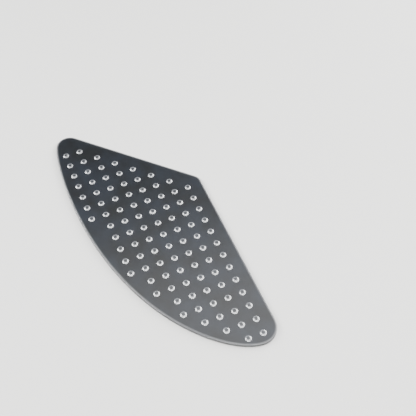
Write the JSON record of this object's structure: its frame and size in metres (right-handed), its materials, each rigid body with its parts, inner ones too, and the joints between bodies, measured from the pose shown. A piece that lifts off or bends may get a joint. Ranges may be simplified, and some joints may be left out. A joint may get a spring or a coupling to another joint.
{
  "type": "motorcycle tank pad",
  "caption": "Moulded smoke-clear rubber knee grip pad for one side of a fuel tank: a thin flat sheet with a straight edge, a slanted end, a long curved edge and a grid of round grip nubs.",
  "frame": {"origin": "on the flat back, under the middle of the pad's length and width", "axes": "+Y along the straight inner edge from the near tip to the slanted end, +X towards the straight inner edge, +Z out of the face with the nubs"},
  "size_m": [0.0896, 0.2035, 0.0032],
  "materials": {
    "smoke_clear_rubber": "satin, see-through, smoke grey, with glossy nubs"
  },
  "bodies": {
    "root": {"tank_pad": "smoke_clear_rubber"}
  },
  "joints": []
}
